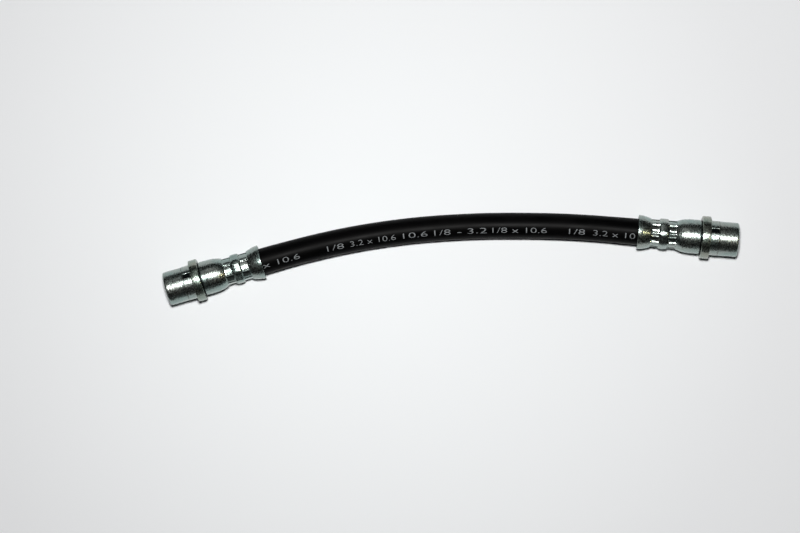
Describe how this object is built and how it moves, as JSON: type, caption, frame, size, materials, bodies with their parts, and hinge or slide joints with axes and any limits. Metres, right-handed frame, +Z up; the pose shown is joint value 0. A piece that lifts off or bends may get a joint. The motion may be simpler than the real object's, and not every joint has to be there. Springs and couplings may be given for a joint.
{
  "type": "brake hose",
  "caption": "Short hydraulic brake hose: black layered rubber hose in a shallow bend, with a crimped, zinc-plated female steel fitting with collar and keyway at each end.",
  "frame": {"origin": "on the floor, midway between the two end fittings", "axes": "+X from the left fitting to the right one, +Y towards the outside of the bend, +Z up"},
  "size_m": [0.237, 0.0275, 0.0175],
  "materials": {
    "zinc_plate": "bright zinc plate, slightly rough, fine speckle",
    "nipple_steel": "plain turned steel",
    "tube_rubber": "plain black rubber",
    "braid_yarn": "off-white braided yarn",
    "cover_rubber": "smooth black cover rubber with a faint sheen",
    "print_ink": "pale grey printed line"
  },
  "bodies": {
    "root": {"left_fitting": "zinc_plate", "right_fitting": "zinc_plate", "left_nipple": "nipple_steel", "right_nipple": "nipple_steel", "inner_tube": "tube_rubber", "inner_braid": "braid_yarn", "tie_layer": "tube_rubber", "outer_braid": "braid_yarn", "hose_cover": "cover_rubber"}
  },
  "joints": []
}
